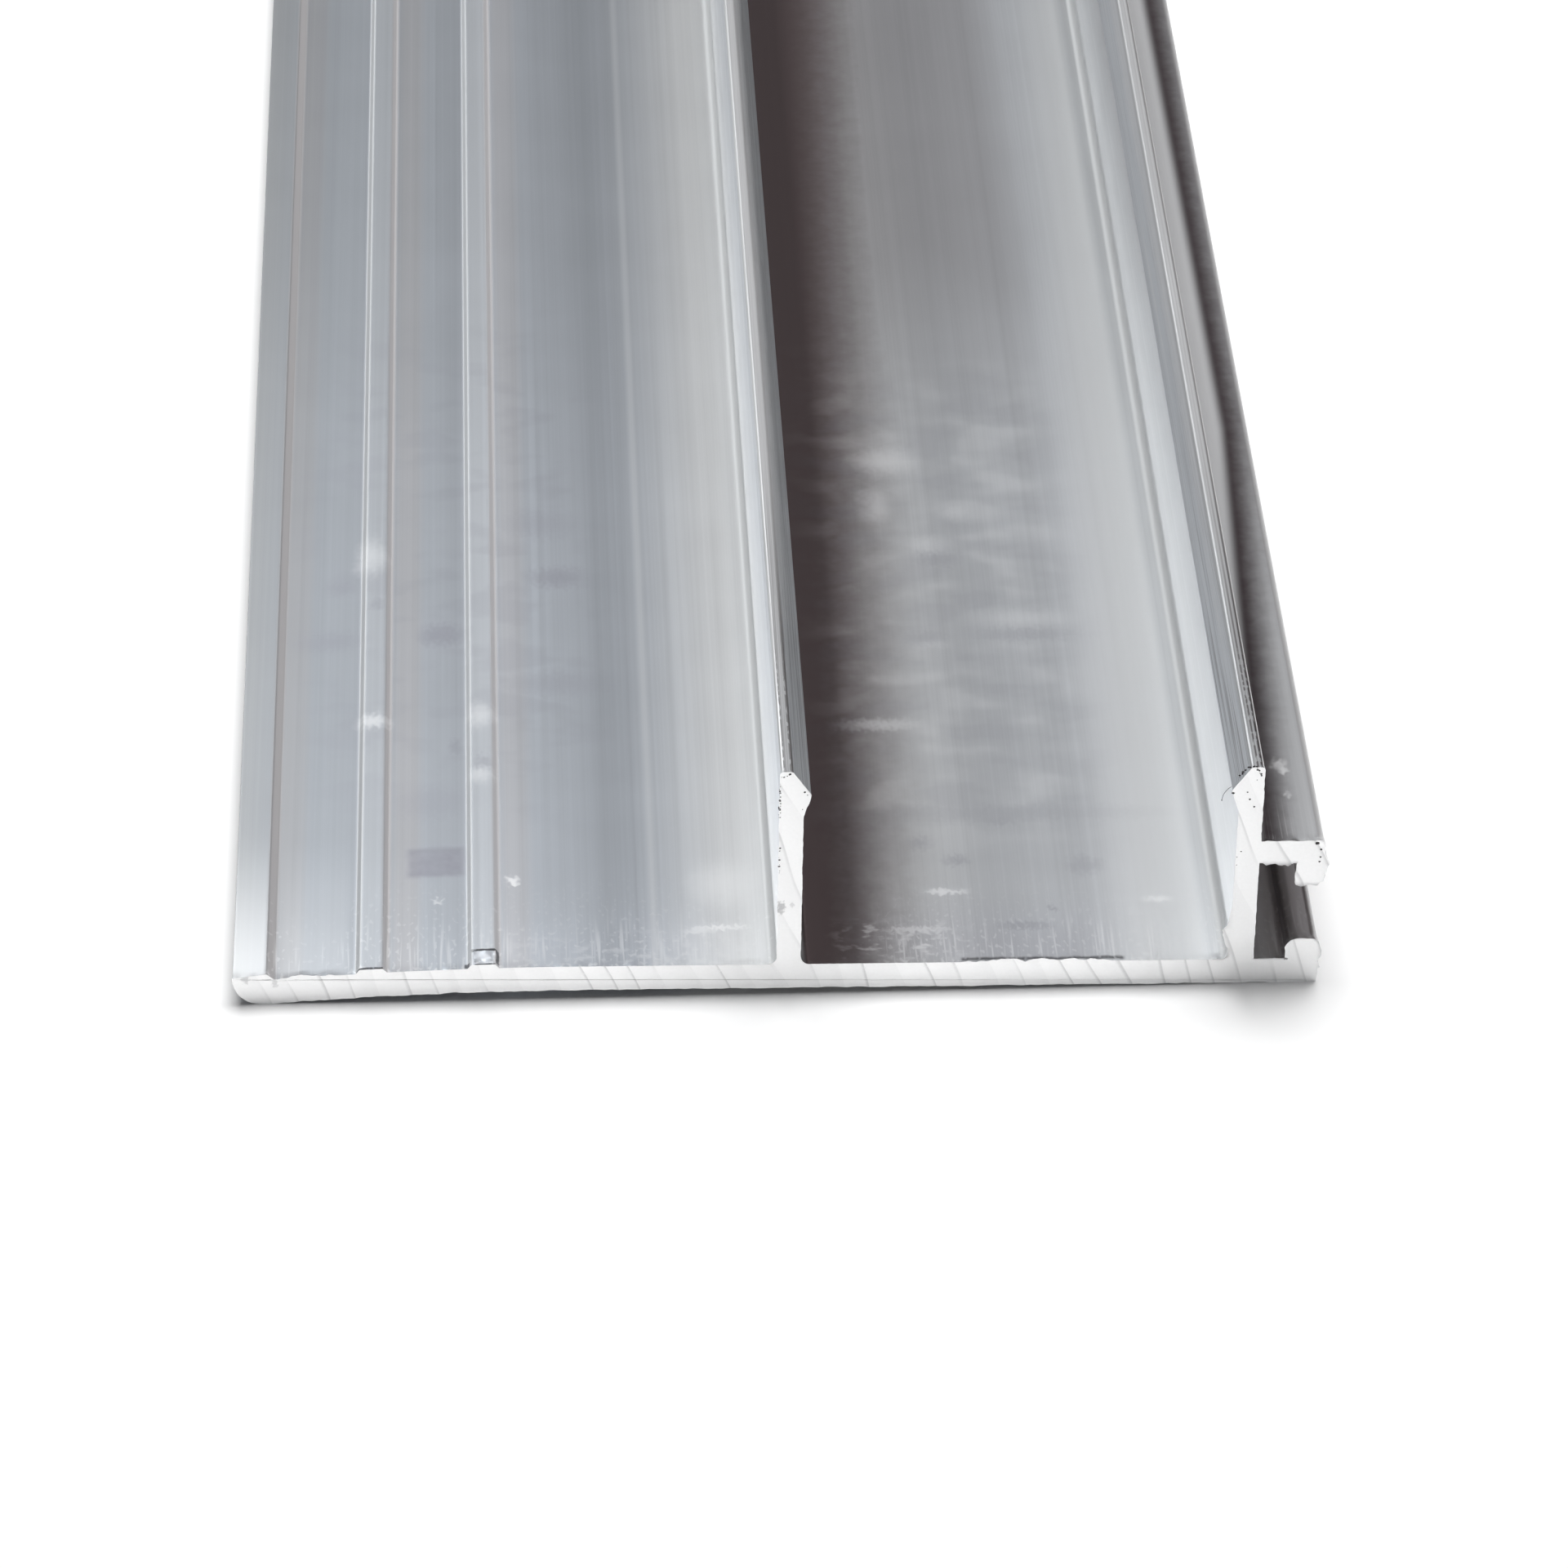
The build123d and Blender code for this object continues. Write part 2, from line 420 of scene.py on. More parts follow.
# Painted light: a dull pale band along the arm's outer edge, over its dark reflection
OUTER_EDGE = (69.6, 69.9, 0.75)
CROWN_FILM_FROM = (3.0, 45.0)
WHIRL_ACROSS = (40.0, 57.0, 3.0)
WHIRL_BEHIND = (14.0, 74.0, 8.0)
WHIRL_DEPTH = 0.13
SMEAR_DARK = (0.52, 0.3)
SMEAR_PALE = (0.5, 0.74, 0.12)
FLANGE_ACROSS = (4.0, 24.0, 3.0)
FLANGE_BEHIND = (20.0, 80.0, 10.0, 0.16)
CLOUDED_FROM = (170.0, 210.0)
CLOUD_LIMITS = (0.5, 0.65, 0.25)
CHANNEL_END_ACROSS = (43.0, 56.0, 3.0)
CHANNEL_END = (9.0, 1.0, 0.28)
SCRAPE_LIMITS = (0.55, 0.8)
SCRAPE_END = (8.0, 1.0, 0.3)
SCUFFED_ACROSS = (39.5, 47.0, 1.5)
SCUFFED_BEHIND = (0.4, 4.6, 0.9)
SCUFFED_LIMITS = (0.5, 0.75, 0.35)
HANDLED_ACROSS = (18.0, 34.0, 1.5)
HANDLED_END = (6.0, 0.5)
HANDLED_LIMITS = (0.5, 0.75, 0.25)
RAGGED_LIMITS = (0.55, 0.7)
RAGGED_END = (0.8, 0.1, 0.35)
SPECKLE_LIMITS = (0.66, 0.8)
SPECKLE_END = (12.0, 1.0, 0.22)
BEAD_ACROSS = (2.3, 1.9)
BEAD_END = (18.0, -3.0, 0.42)
LIP_SIDE_ACROSS = (3.2, 7.4, 0.6)
LIP_SIDE_END = (16.0, -2.0, 0.16)
FOOT_CLEAR = (36.5, 42.0, 1.0)
ARM_HAIR_LIMITS = (0.55, 0.75)
ARM_HAIR_END = (6.0, 0.0, 0.25)
SAW_SHADOW_LIMITS = (-0.1, 0.5)
# The painted shade beside the middle rib's foot, where the rib blocks the light: where it is clear and where
# it is full, each with its lean along the bar
FOOT_SHADE = ((45.8, 0.028), (38.2, 0.022))
FOOT_SHADE_START = (36.4, 37.0, 0.96)
# Painted shade also darkens the channel's middle further back, and the groove
HAZE_ACROSS = (44.0, 57.0, 3.0)
HAZE_BEHIND = (60.0, 100.0, 0.26)
GROOVE_ACROSS = (65.7, 65.9)
GROOVE_LEVEL = (9.5, 9.3)
GROOVE_LEAST = 0.12
GROOVE_DEEP = (66.5, 68.0, 0.45)
# The arm's painted shade from its rib leads away from the rib with distance from the cut; its steps are
# measured from that lead
ARM_LEAD_MM = 66.1
ARM_LEAD_LEAN = 0.045
ARM_LEAD_MOST_MM = 2.3
# Painted light: a dull pale band on the arm close beside its rib
BESIDE_RIB = (0.2, -0.7, 0.6)
ARM_SHADE_START = (-0.7, 0.35)
ARM_SHADE_MM = 2.7

# Tooth marks on the cut: how they lean and wander, how far apart they lie, how their lines begin and end
SAW_LEAN = radians(20.5)
SAW_PITCH_MM = 1.75
WANDER_GRAIN_MM = (5.0, 9.0)
WANDER_MM = 1.8
FIRM_GRAIN_MM = (1.7, 12.0)
FIRM_LIMITS = (0.38, 0.66)
LINE_START = (0.84, 0.96)
LINE_END = (1.0, 0.96)
LINE_DEPTH = 0.36
PASS_DIMMING = (0.1, 0.9, 0.06)
# Painted shade: the cut darkens upwards over the ribs, against the brighter floor they reflect
CUT_PAINTED_SHADE = (2.5, 8.0, 0.08)
CUT_GRAIN = 0.2 * MM
CUT_GRAIN_DEPTH = 0.08
CUT_ROUGHNESS = 0.45
CUT_GRAIN_ROUGHNESS = 0.15
CUT_BUMP = 0.3
CUT_GRAIN_BUMP = 0.4
# Dark smears on it, x and z in millimetres, size and depth; and how they are drawn out, frayed and filled
CUT_SMEARS = (
    (0.25, 6.7, 0.42, 0.75),
    (1.0, 6.9, 0.22, 0.45),
    (-34.2, 2.0, 0.35, 0.5),
    (-32.3, 1.6, 0.3, 0.45),
)
SMEAR_SQUASH = 0.6
SMEAR_FRAY = 1.6
SMEAR_CORE = 0.3

# Swarf
SWARF_GRAIN = 0.06 * MM
SWARF_DUST = (0.45, 0.7)
SWARF_METAL = 0.4
SWARF_ROUGHNESS = 0.5
SWARF_GRAIN_ROUGHNESS = 0.3


class Wire:
    """One output of a node; arithmetic on it adds Math nodes to its graph."""

    def __init__(self, graph, socket):
        self.graph = graph
        self.socket = socket

    def math(self, operation, *others, flip=False):
        values = [self, *others]
        if flip:
            values.reverse()
        return self.graph.node("Math", {"operation": operation}, dict(enumerate(values)))

    def __add__(self, other):
        return self.math("ADD", other)

    def __radd__(self, other):
        return self.math("ADD", other, flip=True)

    def __sub__(self, other):
        return self.math("SUBTRACT", other)

    def __rsub__(self, other):
        return self.math("SUBTRACT", other, flip=True)

    def __mul__(self, other):
        return self.math("MULTIPLY", other)

    def __rmul__(self, other):
        return self.math("MULTIPLY", other, flip=True)

    def __truediv__(self, other):
        return self.math("DIVIDE", other)

    def __pow__(self, other):
        return self.math("POWER", other)

    def most(self, other):
        return self.math("MAXIMUM", other)

    def least(self, other):
        return self.math("MINIMUM", other)

    def size(self):
        return self.math("ABSOLUTE")


class Graph:
    """A node tree that is filled node by node."""

    def __init__(self, tree):
        self.tree = tree
        tree.nodes.clear()

    def node(self, kind, settings=None, inputs=None, out=0):
        """Add a node: its settings are set first, then its sockets' values or links; gives one output."""
        made = self.tree.nodes.new("ShaderNode" + kind)
        for name, value in (settings or {}).items():
            if name == "stops":
                self.set_stops(made.color_ramp, value)
            else:
                setattr(made, name, value)
        for name, value in (inputs or {}).items():
            socket = made.inputs[name] if isinstance(name, int) else self.find(made.inputs, name)
            if isinstance(value, Wire):
                self.tree.links.new(value.socket, socket)
            else:
                socket.default_value = value
        if not made.outputs:
            return None
        return Wire(self, made.outputs[out] if isinstance(out, int) else self.find(made.outputs, out))

    @staticmethod
    def find(sockets, name):
        """The socket with this identifier, or else with this name."""
        for socket in sockets:
            if socket.identifier == name:
                return socket
        return sockets[name]

    @staticmethod
    def set_stops(ramp, stops):
        while len(ramp.elements) < len(stops):
            ramp.elements.new(1.0)
        for element, (place, value) in zip(ramp.elements, stops):
            element.position = place
            element.color = (value, value, value, 1.0)

    def axes(self, vector):
        """The three parts of a vector."""
        return [self.node("SeparateXYZ", None, {0: vector}, out=i) for i in range(3)]

    def vector(self, x, y, z):
        return self.node("CombineXYZ", None, {0: x, 1: y, 2: z})

    def noise(self, vector, detail=0.0, roughness=0.5, flat=False):
        """Noise about one unit wide over the vector, from 0 to 1; flat noise leaves the third axis out."""
        settings = {"noise_dimensions": "2D" if flat else "3D"}
        inputs = {"Vector": vector, "Scale": 1.0, "Detail": detail, "Roughness": roughness}
        return self.node("TexNoise", settings, inputs)

    def ramp(self, value, low, high, top=1.0, rest=0.0):
        """The rest value below low, the top value above high and smooth between."""
        settings = {"interpolation_type": "SMOOTHSTEP"}
        inputs = {"Value": value, "From Min": low, "From Max": high, "To Min": rest, "To Max": top}
        return self.node("MapRange", settings, inputs)

    def blend(self, share, first, second, how="MIX"):
        """Two colours mixed by the share of the second."""
        settings = {"data_type": "RGBA", "blend_type": how}
        inputs = {"Factor_Float": share, "A_Color": first, "B_Color": second}
        return self.node("Mix", settings, inputs, out="Result_Color")

    def grey(self, value):
        """A value as a colour."""
        return self.node("CombineColor", None, {0: value, 1: value, 2: value})

    def span(self, value, low, high, soft, top=1.0, rest=0.0):
        """The top value between low and high, the rest value outside, with soft edges."""
        half = (high - low) / 2
        off = (value - (low + half)).size()
        return self.ramp(off, half + soft, half - soft, top, rest)

    def profile(self, value, stops, reach):
        """A value read off stops that run from 0 to reach."""
        shares = [(place / reach, level) for place, level in stops]
        return self.node("ValToRGB", {"stops": shares}, {0: value / reach})

    def surface(self, values):
        """End a material with the principled shader and these values."""
        self.end(self.node("BsdfPrincipled", None, values))

    def end(self, shader, output="OutputMaterial"):
        self.node(output, None, {"Surface": shader})


def colour(red, green, blue):
    return (red, green, blue, 1.0)


def new_material(name):
    """A material with an empty graph."""
    material = bpy.data.materials.new(name)
    material.use_nodes = True
    return material, Graph(material.node_tree)


@contextmanager
def shaping(piece):
    """Edit mode on one piece, with nothing selected at first."""
    only(piece)
    bpy.ops.object.mode_set(mode="EDIT")
    bpy.ops.mesh.select_mode(type="VERT")
    bpy.ops.mesh.select_all(action="DESELECT")
    yield bmesh.from_edit_mesh(piece.data)
    bpy.ops.object.mode_set(mode="OBJECT")


def only(piece):
    """Select this object alone and make it the active one."""
    bpy.ops.object.select_all(action="DESELECT")
    piece.select_set(True)
    bpy.context.view_layer.objects.active = piece


def add_modifier(piece, kind, **settings):
    """Add a modifier and apply it."""
    only(piece)
    modifier = piece.modifiers.new(kind.lower(), kind)
    for name, value in settings.items():
        setattr(modifier, name, value)
    bpy.ops.object.modifier_apply(modifier=modifier.name)


def roughen(piece, name, grain, height, least=EVEN_PUSH, **settings):
    """Push a piece's points about by soft noise of this grain and height."""
    texture = bpy.data.textures.new(name, "CLOUDS")
    texture.noise_scale = grain
    texture.noise_depth = NOISE_DEPTH
    settings = {"texture": texture, "texture_coords": "LOCAL", **settings}
    add_modifier(piece, "DISPLACE", strength=height, mid_level=least, **settings)


def smooth(piece, angle):
    """Smooth shading, sharp only across edges steeper than the angle."""
    only(piece)
    bpy.ops.object.shade_smooth_by_angle(angle=angle)


def new_object(name, data):
    """An object in the scene that holds this data."""
    made = bpy.data.objects.new(name, data)
    bpy.context.scene.collection.objects.link(made)
    return made


def section_place(across_mm, up_mm):
    """x and z of a place on the section, measured from the lip and up from the underside."""
    x = -BAR_WIDTH_MM / 2 + across_mm * cos(REST_TILT) + up_mm * sin(REST_TILT)
    z = (BAR_WIDTH_MM - across_mm) * sin(REST_TILT) + up_mm * cos(REST_TILT)
    return x * MM, z * MM


class MillFinish:
    """Bare aluminium as it leaves the die: satin, with lengthwise lines, bands, smudges and handling marks,
    and painted light and shade across it, along it and beside its ribs.
    """

    def __init__(self):
        self.material, self.graph = new_material("mill_finish")
        graph = self.graph
        x, y, z = graph.axes(graph.node("TexCoord", out="Object"))
        self.across = x / MM + BAR_WIDTH_MM / 2
        self.behind = (y - SAWN_END) / MM
        self.up = z / MM
        self.depth = self.behind.least(BAR_LENGTH_MM - self.behind)
        self.fray = self.noise(*FRAY_NOISE, flat=True) - 0.5
        self.fleck = self.noise(*FLECK_NOISE, flat=True)
        self.hair = self.noise(*HAIR_NOISE)
        self.fine = self.noise(*FINE_NOISE)
        self.band = self.noise(*BAND_NOISE)
        self.cloud = self.noise(*CLOUD_NOISE, flat=True)
        self.smear = self.noise(*SMEAR_NOISE, flat=True)
        frayed_across = self.across + self.fray * MARK_FRAY_MM[0]
        frayed_behind = self.behind + (self.fleck - 0.5) * MARK_FRAY_MM[1]
        self.frayed = graph.vector(frayed_across, frayed_behind, 0.0)
        self.plate_top = graph.span(self.up, *PLATE_LEVEL)
        self.on_crown = graph.ramp(self.up, *CROWN_LEVEL)
        self.arm_top = graph.ramp(self.up, *ARM_LEVEL) * graph.ramp(self.across, *ARM_START)
        self.lead = ARM_LEAD_MM + (self.behind * ARM_LEAD_LEAN).least(ARM_LEAD_MOST_MM)

        smudge = self.smudges()
        scuff = self.scuffs()
        # Painted shade on the flanks that face away from the light
        flank = self.bands(FLANK_PAINTED_SHADE)
        # Painted light on the flanks that face the light
        flank_light = self.bands(FLANK_PAINTED_LIGHT)
        # Painted light on the ribs' roots
        root = self.bands(ROOT_PAINTED_LIGHT)
        pale_edge = self.pale_edges()
        # Painted shadows behind the folded tab, at the strips' ends and behind the saw's ridge
        saw_shadow = self.patches(SAW_SHADOW_LINES, graph.ramp(self.fleck, *SAW_SHADOW_LIMITS)) * self.plate_top
        metal = self.crowns(self.metal_with_painted_light())
        # The first layers are painted shade: beside the middle rib, in the channel and groove, and on the
        # arm
        for share, tint in (
            (self.painted_shade(), PAINTED_SHADE_TINT),
            (self.arm_shade(), ARM_SHADE_TINT),
            (smudge, SMUDGE_TINT),
            (flank, FLANK_SHADE_TINT),
            (flank_light, FLANK_LIGHT_TINT),
            (root, ROOT_LIGHT_TINT),
            (pale_edge, EDGE_TINT),
            (scuff, SCUFF_AND_LIGHT_TINT),
            (saw_shadow, SAW_SHADOW_TINT),
        ):
            metal = graph.blend(share, metal, colour(*tint))
        dull = (flank * FLANK_DULLNESS).most(flank_light.most(root) * PAINTED_LIGHT_DULLNESS)
        dull = dull.most(scuff * SCUFF_DULLNESS).most(pale_edge * EDGE_DULLNESS)
        rough = MILL_ROUGHNESS + BAND_ROUGHNESS * (self.band - 0.5) + HAIR_ROUGHNESS * (self.hair - 0.5)
        rough = rough + SMUDGE_ROUGHNESS * smudge
        relief = {"Strength": DIE_LINE_BUMP, "Distance": BUMP_DEPTH, "Height": self.fine}
        bump = graph.node("Bump", None, relief)
        graph.surface({"Base Color": metal, "Metallic": 1.0 - dull, "Roughness": rough, "Normal": bump})

    def noise(self, width_mm, length_mm, detail=0.0, roughness=0.5, flat=False):
        """Noise of this grain across the section and along the bar."""
        vector = self.graph.vector(self.across / width_mm, self.behind / length_mm, self.up / width_mm)
        return self.graph.noise(vector, detail, roughness, flat)

    def metal_with_painted_light(self):
        """The bare metal's colour: its tone across the bar with painted light and shade, painted light
        bright at the cut end, fine lines and clouds, and painted light beside the ribs.
        """
        graph = self.graph
        # Painted light and shade across the bar, over the metal's own tone
        tone_and_light = graph.profile(self.across, TONE_AND_PAINTED_LIGHT, BAR_WIDTH_MM)
        # Painted light: brighter near the cut, falling off further along the bar
        falloff = graph.profile(self.depth, PAINTED_FALLOFF, ALONG_REACH_MM)
        shade = 1.0 + BAND_SHADE * (self.band - 0.5) + CLOUD_SHADE * (self.cloud - 0.5)
        shade = shade + FINE_SHADE * (self.fine - 0.5) + HAIR_SHADE * (self.hair - 0.5)
        metal = colour(*MILL_TINT)
        for layer in (tone_and_light, falloff, graph.grey(shade)):
            metal = graph.blend(1.0, metal, layer, "MULTIPLY")
        metal = graph.blend(self.stripes(COOL_ZONES), metal, colour(*COOL_TINT), "MULTIPLY")
        metal = graph.blend(self.bands(WARM_BANDS), metal, colour(*WARM_TINT), "MULTIPLY")
        # Painted light from the ribs' lit left faces, in the pale tint
        far_light = graph.span(self.across, *FAR_LIGHT) * graph.ramp(self.behind, *FAR_LIGHT_FROM)
        leaning = self.across - self.behind.least(ALONG_REACH_MM) * CHANNEL_LIGHT_LEAN
        channel_light = graph.ramp(leaning, *CHANNEL_LIGHT_START)
        channel_light = channel_light * graph.ramp(self.across, *CHANNEL_LIGHT_END) * self.plate_top
        pale = self.bands(PALE_BANDS).most(far_light).most(channel_light)
        return graph.blend(pale, metal, colour(*SCUFF_AND_LIGHT_TINT))

    def crowns(self, metal):
        """Streaks along the ribs' crowns: fine dark and pale lines, painted shade along the crests and
        dotted lines.
        """
        graph = self.graph
        near = graph.ramp(self.behind, *NEAR_CUT, 1.0, FAR_LINE_SHARE)
        streak = self.noise(*STREAK_NOISE)
        dots = graph.ramp(self.noise(*DOT_NOISE, flat=True), *DOT_LIMITS)
        dots = dots.most(graph.ramp(self.depth, *DOTS_END))
        dark = graph.ramp(streak, *DARK_STREAKS).most(self.stripes(CROWN_LINES) * dots)
        slope = graph.span(self.across, *OUTER_SLOPE)
        # The crest band is painted shade over the crests' highlight
        for share, tint in (
            (slope, SLOPE_TINT),
            (self.stripes(CREST_PAINTED_SHADE), CREST_SHADE_TINT),
            (dark * near, CROWN_TINT),
            (graph.ramp(streak, *PALE_STREAKS), SCUFF_AND_LIGHT_TINT),
        ):
            metal = graph.blend(share * self.on_crown, metal, colour(*tint))
        return metal

    def pale_edges(self):
        """Dull, pale tone: painted light on the outer edge and on the arm beside its rib, over their dark
        reflections; and on the crowns away from the cut.
        """
        graph = self.graph
        # Painted light on the outer edge and beside the rib
        edge = graph.ramp(self.across, *OUTER_EDGE)
        crown = self.stripes(CROWN_FILM) * self.on_crown * graph.ramp(self.behind, *CROWN_FILM_FROM)
        start, end, depth = BESIDE_RIB
        beside_rib = self.arm_top * graph.ramp(self.across, self.lead + start, self.lead + end, depth)
        return edge.most(crown).most(beside_rib)

    def stripes(self, table):
        """Stripes along the bar at the table's places, each at its depth."""
        total = 0.0
        for stripe in table:
            total = self.graph.span(self.across, *stripe, total)
        return total

    def bands(self, table):
        """Stripes of the table on the plate's upper face, a little uneven."""
        uneven = BAND_LEAST + BAND_SWING * self.band
        return (self.stripes(table) * self.plate_top * uneven).least(1.0)

    def marks(self, table, soft):
        """Rounded, frayed marks at the table's places, later ones over earlier ones."""
        total = 0.0
        for across, behind, half_width, half_length, depth in table:
            sizes = (1 / half_width, 1 / half_length, 0.0)
            shift = (-across / half_width, -behind / half_length, 0.0)
            inputs = {0: self.frayed, 1: sizes, 2: shift}
            off = self.graph.node("VectorMath", {"operation": "MULTIPLY_ADD"}, inputs)
            away = self.graph.node("VectorMath", {"operation": "LENGTH"}, {0: off}, out="Value")
            total = self.graph.ramp(away, 1.0 + soft, 1.0 - soft, depth, total)
        return total

    def patches(self, table, mottle):
        """Straight-sided marks with a mottled tone, later ones over earlier ones."""
        across = self.across + self.fray * PATCH_FRAY_MM
        behind = self.behind + self.fray * PATCH_FRAY_MM
        total = 0.0
        for from_u, to_u, from_d, to_d, soft, depth in table:
            inside = self.graph.span(behind, from_d, to_d, soft, depth, total)
            total = self.graph.span(across, from_u, to_u, soft, inside, total)
        return total * mottle

    def whirl_zone(self):
        """The middle of the channel, where something was rubbed round on it."""
        return self.graph.span(self.across, *WHIRL_ACROSS) * self.graph.span(self.behind, *WHIRL_BEHIND)

    def smudges(self):
        """Dark marks: listed ones, faint clouds on the flange and whirls in the channel."""
        graph = self.graph
        on_flange = graph.span(self.across, *FLANGE_ACROSS) * graph.span(self.behind, *FLANGE_BEHIND)
        elsewhere = graph.ramp(self.behind, *CLOUDED_FROM) * graph.ramp(self.cloud, *CLOUD_LIMITS)
        zone = on_flange.most(elsewhere).most(self.whirl_zone() * WHIRL_DEPTH)
        total = graph.ramp(self.smear, *SMEAR_DARK) * zone
        by_the_cut = graph.span(self.across, *CHANNEL_END_ACROSS) * graph.ramp(self.depth, *CHANNEL_END)
        patches = self.patches(DARK_PATCHES, PATCH_TONE + PATCH_MOTTLE * self.fray)
        total = total.most(by_the_cut).most(self.marks(DARK_MARKS, SOFT_MARK)).most(patches)
        return total * self.plate_top

    def scuffs(self):
        """Pale marks: listed ones, whirls in the channel, flecks and short streaks by the cut."""
        graph = self.graph
        total = graph.ramp(self.smear, *SMEAR_PALE) * self.whirl_zone()
        scrape = graph.ramp(self.noise(*SCRAPE_NOISE), *SCRAPE_LIMITS) * graph.ramp(self.depth, *SCRAPE_END)
        scribble = self.noise(*SCRIBBLE_NOISE, flat=True)
        scuffed = graph.span(self.across, *SCUFFED_ACROSS) * graph.span(self.behind, *SCUFFED_BEHIND)
        scuffed = graph.ramp(scribble, *SCUFFED_LIMITS) * scuffed
        handled = graph.span(self.across, *HANDLED_ACROSS) * graph.ramp(self.depth, *HANDLED_END)
        handled = graph.ramp(scribble, *HANDLED_LIMITS) * handled
        ragged = graph.ramp(self.fleck, *RAGGED_LIMITS) * graph.ramp(self.depth, *RAGGED_END)
        speckle = graph.ramp(self.fleck, *SPECKLE_LIMITS) * graph.ramp(self.depth, *SPECKLE_END)
        bead = graph.ramp(self.across, *BEAD_ACROSS) * graph.ramp(self.depth, *BEAD_END)
        lip_side = graph.span(self.across, *LIP_SIDE_ACROSS) * graph.ramp(self.depth, *LIP_SIDE_END)
        beside_foot = 1.0 - graph.span(self.across, *FOOT_CLEAR)
        flecks = scrape.most(ragged).most(speckle) * beside_foot
        pale_marks = self.marks(PALE_MARKS, SOFT_MARK)
        scratches = self.marks(SCRATCHES, CRISP_MARK)
        for layer in (flecks, scuffed, handled, bead, lip_side, pale_marks, scratches):
            total = total.most(layer)
        on_arm = graph.ramp(self.hair, *ARM_HAIR_LIMITS) * graph.ramp(self.depth, *ARM_HAIR_END)
        on_arm = on_arm.most(self.marks(ARM_BLOTCHES, SOFT_MARK))
        return (total * self.plate_top).most(on_arm * self.arm_top)

    def painted_shade(self):
        """Painted shade in brown: beside the middle rib's foot where the rib blocks the light, darker in the
        channel further back, and in the groove.
        """
        graph = self.graph
        far = self.behind.least(ALONG_REACH_MM)
        frayed = self.across + self.fray * FOOT_FRAY_MM
        (clear, clear_lean), (full, full_lean) = FOOT_SHADE
        foot = graph.ramp(frayed, clear + far * clear_lean, full + far * full_lean)
        foot = foot * graph.ramp(self.across, *FOOT_SHADE_START) * self.plate_top
        haze = graph.span(self.across, *HAZE_ACROSS) * graph.ramp(self.behind, *HAZE_BEHIND)
        groove = graph.ramp(self.across, *GROOVE_ACROSS) * graph.ramp(self.up, *GROOVE_LEVEL)
        groove = groove * (GROOVE_LEAST + graph.ramp(self.across, *GROOVE_DEEP))
        return foot.most(haze * self.plate_top).most(groove)

    def arm_shade(self):
        """Painted shade on the arm, cast by its rib: thickest beside the rib near the cut and further out
        behind it.
        """
        graph = self.graph
        frayed = self.across + self.fray * ARM_FRAY_MM
        # Painted shade cast by the rib, thickest at its side
        thick = graph.ramp(frayed, self.lead + ARM_SHADE_MM, self.lead)
        start, end = ARM_SHADE_START
        return self.arm_top * thick * graph.ramp(self.across, self.lead + start, self.lead + end)


def saw_cut():
    """Bright sawn face with slanting tooth marks, each pass of the saw dimming towards its edge, and painted
    shade higher up on the ribs.
    """
    material, graph = new_material("saw_cut")
    x, y, z = graph.axes(graph.node("TexCoord", out="Object"))
    slant = (x * cos(SAW_LEAN) + z * sin(SAW_LEAN)) / MM
    along = (z * cos(SAW_LEAN) - x * sin(SAW_LEAN)) / MM
    wander, firm = (
        graph.noise(graph.vector(slant / width, along / length, 0.0), flat=True)
        for width, length in (WANDER_GRAIN_MM, FIRM_GRAIN_MM)
    )
    stroke = ((slant + wander * WANDER_MM) / SAW_PITCH_MM).math("FRACT")
    line = graph.ramp(stroke, *LINE_START) * graph.ramp(stroke, *LINE_END) * graph.ramp(firm, *FIRM_LIMITS)
    grain = graph.noise(graph.vector(*(axis / CUT_GRAIN for axis in (x, y, z))), 2.0)
    share = line * LINE_DEPTH + graph.ramp(stroke, *PASS_DIMMING) + (grain - 0.5) * CUT_GRAIN_DEPTH
    # Painted shade higher up on the ribs' cut
    share = share + graph.ramp(z / MM, *CUT_PAINTED_SHADE)
    for smear_x, smear_z, size, depth in CUT_SMEARS:
        away_x = x / MM - smear_x
        away_z = (z / MM - smear_z) * SMEAR_SQUASH
        away = (away_x * away_x + away_z * away_z) ** 0.5 + (grain - 0.5) * size * SMEAR_FRAY
        share = share.most(graph.ramp(away, size, size * SMEAR_CORE, depth))
    tone = graph.blend(share, colour(*CUT_TINT), colour(*CUT_LINE_TINT))
    rough = CUT_ROUGHNESS + CUT_GRAIN_ROUGHNESS * grain
    relief = {"Strength": CUT_BUMP, "Distance": BUMP_DEPTH, "Height": grain * CUT_GRAIN_BUMP - line}
    bump = graph.node("Bump", None, relief)
    graph.surface({"Base Color": tone, "Metallic": 1.0, "Roughness": rough, "Normal": bump})
    return material


def saw_swarf():
    """Dark, oily crumbs of metal from the saw."""
    material, graph = new_material("saw_swarf")
    x, y, z = graph.axes(graph.node("TexCoord", out="Object"))
    grain = graph.noise(graph.vector(*(axis / SWARF_GRAIN for axis in (x, y, z))), 2.0)
    tone = graph.blend(graph.ramp(grain, *SWARF_DUST), colour(*CRUMB_TINT), colour(*CRUMB_DUST_TINT))
    rough = SWARF_ROUGHNESS + SWARF_GRAIN_ROUGHNESS * grain
    graph.surface({"Base Color": tone, "Metallic": SWARF_METAL, "Roughness": rough})
    return material


